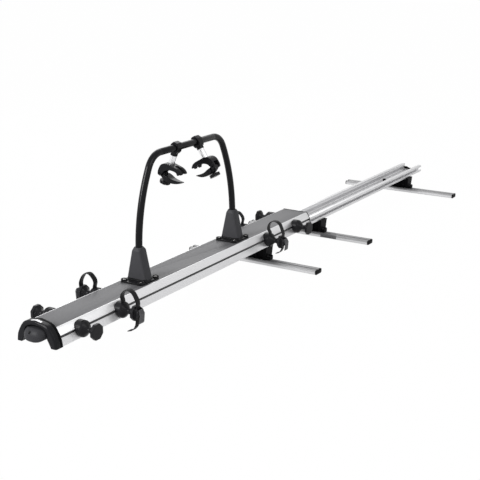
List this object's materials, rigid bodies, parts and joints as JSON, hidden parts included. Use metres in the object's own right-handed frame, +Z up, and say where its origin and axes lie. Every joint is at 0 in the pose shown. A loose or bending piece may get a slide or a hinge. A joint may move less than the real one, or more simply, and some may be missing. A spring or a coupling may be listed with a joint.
{
  "type": "roof mounted bike carrier",
  "caption": "Rail on crossbars with a roller-borne sliding carriage, an arch with swivelling frame clamps, and strapped wheel holders for bicycles.",
  "frame": {"origin": "centre of the front crossbar's underside", "axes": "+X along the rail from the loading end towards the parked end, +Y to the carrier's left, +Z up"},
  "size_m": [3.131, 0.656, 0.6204],
  "materials": {
    "silver_profile": "satin anodised extrusion",
    "grey_panel": "fine matt grey coating",
    "black_plastic": "moulded, slightly satin",
    "black_tube": "satin black powder coat",
    "steel": "zinc plated",
    "roller_nylon": "turned nylon",
    "strap_rubber": "flexible moulded strap",
    "stop_rubber": "matt",
    "lever_grey": "moulded, satin",
    "silver_tube": "bright satin tube"
  },
  "bodies": {
    "root": {"base_rail": "silver_profile", "rail_end_plug": "black_plastic", "crossbar_front": "silver_profile", "crossbar_middle": "silver_profile", "crossbar_rear": "silver_profile", "crossbar_caps": "black_plastic", "saddle_front": "black_plastic", "saddle_middle": "black_plastic", "saddle_rear": "black_plastic", "saddle_bolts": "steel", "front_roller_block": "steel", "track_stops": "stop_rubber"},
    "front_rollers": {"front_rollers": "roller_nylon"},
    "park_catch": {"park_catch": "black_plastic"},
    "carriage": {"carriage_shell": "silver_profile", "top_panel": "grey_panel", "front_cap": "black_plastic", "rear_trim": "black_plastic", "arch_tube": "black_tube", "arch_foot_front": "black_plastic", "arch_foot_rear": "black_plastic", "foot_screws": "steel", "rear_roller_axles": "steel"},
    "rear_rollers": {"rear_rollers": "roller_nylon"},
    "pull_handle": {"pull_handle": "black_plastic"},
    "lock_barrel": {"lock_barrel": "steel"},
    "holder_right_1": {"t_bolt_right_1": "steel", "spool_right_1": "black_plastic"},
    "holder_right_2": {"t_bolt_right_2": "steel", "spool_right_2": "black_plastic", "strap_right_2": "strap_rubber"},
    "lever_right_2": {"lever_right_2": "lever_grey"},
    "holder_right_3": {"t_bolt_right_3": "steel", "spool_right_3": "black_plastic", "strap_right_3": "strap_rubber"},
    "lever_right_3": {"lever_right_3": "lever_grey"},
    "holder_right_4": {"t_bolt_right_4": "steel", "spool_right_4": "black_plastic"},
    "holder_left_1": {"t_bolt_left_1": "steel", "spool_left_1": "black_plastic"},
    "holder_left_2": {"t_bolt_left_2": "steel", "spool_left_2": "black_plastic", "strap_left_2": "strap_rubber"},
    "lever_left_2": {"lever_left_2": "lever_grey"},
    "holder_left_3": {"t_bolt_left_3": "steel", "spool_left_3": "black_plastic", "strap_left_3": "strap_rubber"},
    "lever_left_3": {"lever_left_3": "lever_grey"},
    "holder_left_4": {"t_bolt_left_4": "steel", "spool_left_4": "black_plastic"},
    "arm_front": {"collar_front": "black_plastic", "arm_tube_front": "silver_tube"},
    "claw_front": {"claw_front": "black_plastic"},
    "jaw_front": {"jaw_front": "black_plastic"},
    "knob_front": {"knob_front": "black_plastic"},
    "arm_rear": {"collar_rear": "black_plastic", "arm_tube_rear": "silver_tube"},
    "claw_rear": {"claw_rear": "black_plastic"},
    "jaw_rear": {"jaw_rear": "black_plastic"},
    "knob_rear": {"knob_rear": "black_plastic"}
  },
  "joints": [
    {"name": "carriage_slide", "type": "slide", "parent": "root", "child": "carriage", "axis": [1, 0, 0], "range_m": [-0.19, 1.24]},
    {"name": "front_roller_turn", "type": "hinge", "parent": "root", "child": "front_rollers", "pos_m": [-0.028, 0, 0.1228], "axis": [0, 1, 0], "continuous": true},
    {"name": "rear_roller_turn", "type": "hinge", "parent": "carriage", "child": "rear_rollers", "pos_m": [0.341, 0, 0.0935], "axis": [0, 1, 0], "continuous": true},
    {"name": "park_catch_turn", "type": "hinge", "parent": "root", "child": "park_catch", "pos_m": [1.476, -0.01, 0.085], "axis": [0, 0, 1], "range_deg": [-12, 0], "stiffness_Nm_per_rad": 0.6},
    {"name": "pull_handle_turn", "type": "hinge", "parent": "carriage", "child": "pull_handle", "pos_m": [-1.341, 0, 0.137], "axis": [0, 1, 0], "range_deg": [0, 25], "stiffness_Nm_per_rad": 0.8, "springref_deg": -5.73},
    {"name": "lock_turn", "type": "hinge", "parent": "pull_handle", "child": "lock_barrel", "pos_m": [-1.349, 0.007, 0.1325], "axis": [1, 0, 0], "range_deg": [0, 90]},
    {"name": "holder_slide_right_1", "type": "slide", "parent": "carriage", "child": "holder_right_1", "axis": [1, 0, 0], "range_m": [-0.055, 0.06]},
    {"name": "holder_slide_right_2", "type": "slide", "parent": "carriage", "child": "holder_right_2", "axis": [1, 0, 0], "range_m": [-0.06, 0.12]},
    {"name": "ratchet_right_2", "type": "hinge", "parent": "holder_right_2", "child": "lever_right_2", "pos_m": [-1.0115, -0.1625, 0.125], "axis": [-1, 0, 0], "range_deg": [0, 100]},
    {"name": "holder_slide_right_3", "type": "slide", "parent": "carriage", "child": "holder_right_3", "axis": [1, 0, 0], "range_m": [-0.12, 0.08]},
    {"name": "ratchet_right_3", "type": "hinge", "parent": "holder_right_3", "child": "lever_right_3", "pos_m": [-0.0105, -0.1625, 0.125], "axis": [-1, 0, 0], "range_deg": [0, 100]},
    {"name": "holder_slide_right_4", "type": "slide", "parent": "carriage", "child": "holder_right_4", "axis": [1, 0, 0], "range_m": [-0.08, 0.04]},
    {"name": "holder_slide_left_1", "type": "slide", "parent": "carriage", "child": "holder_left_1", "axis": [1, 0, 0], "range_m": [-0.055, 0.06]},
    {"name": "holder_slide_left_2", "type": "slide", "parent": "carriage", "child": "holder_left_2", "axis": [1, 0, 0], "range_m": [-0.06, 0.12]},
    {"name": "ratchet_left_2", "type": "hinge", "parent": "holder_left_2", "child": "lever_left_2", "pos_m": [-0.945, 0.1625, 0.125], "axis": [1, 0, 0], "range_deg": [0, 100]},
    {"name": "holder_slide_left_3", "type": "slide", "parent": "carriage", "child": "holder_left_3", "axis": [1, 0, 0], "range_m": [-0.12, 0.08]},
    {"name": "ratchet_left_3", "type": "hinge", "parent": "holder_left_3", "child": "lever_left_3", "pos_m": [0.057, 0.1625, 0.125], "axis": [1, 0, 0], "range_deg": [0, 100]},
    {"name": "holder_slide_left_4", "type": "slide", "parent": "carriage", "child": "holder_left_4", "axis": [1, 0, 0], "range_m": [-0.08, 0.04]},
    {"name": "arm_swing_front", "type": "hinge", "parent": "carriage", "child": "arm_front", "pos_m": [-0.558, 0, 0.597], "axis": [1, 0, 0], "range_deg": [-60, 60]},
    {"name": "claw_swivel_front", "type": "hinge", "parent": "arm_front", "child": "claw_front", "pos_m": [-0.558, 0.02409, 0.52703], "axis": [0, -0.3256, 0.9455], "range_deg": [-90, 90]},
    {"name": "jaw_open_front", "type": "hinge", "parent": "claw_front", "child": "jaw_front", "pos_m": [-0.558, 0.06235, 0.49578], "axis": [1, 0, 0], "range_deg": [0, 24]},
    {"name": "knob_turn_front", "type": "hinge", "parent": "jaw_front", "child": "knob_front", "pos_m": [-0.558, 0.05321, 0.46091], "axis": [0, -0.3256, 0.9455], "range_deg": [0, 1080]},
    {"name": "arm_swing_rear", "type": "hinge", "parent": "carriage", "child": "arm_rear", "pos_m": [-0.419, 0, 0.597], "axis": [-1, 0, 0], "range_deg": [-60, 60]},
    {"name": "claw_swivel_rear", "type": "hinge", "parent": "arm_rear", "child": "claw_rear", "pos_m": [-0.419, -0.03811, 0.53357], "axis": [0, -0.515, -0.8572], "range_deg": [-90, 90]},
    {"name": "jaw_open_rear", "type": "hinge", "parent": "claw_rear", "child": "jaw_rear", "pos_m": [-0.419, -0.08203, 0.51096], "axis": [-1, 0, 0], "range_deg": [0, 24]},
    {"name": "knob_turn_rear", "type": "hinge", "parent": "jaw_rear", "child": "knob_rear", "pos_m": [-0.419, -0.08034, 0.47494], "axis": [0, 0.515, 0.8572], "range_deg": [0, 1080]}
  ],
  "couplings": [
    {"joint": "front_roller_turn", "follows": "carriage_slide", "rad_per_m": 55.556},
    {"joint": "rear_roller_turn", "follows": "carriage_slide", "rad_per_m": -75.188},
    {"joint": "jaw_open_front", "follows": "knob_turn_front", "ratio": 0.022222},
    {"joint": "jaw_open_rear", "follows": "knob_turn_rear", "ratio": 0.022222}
  ]
}
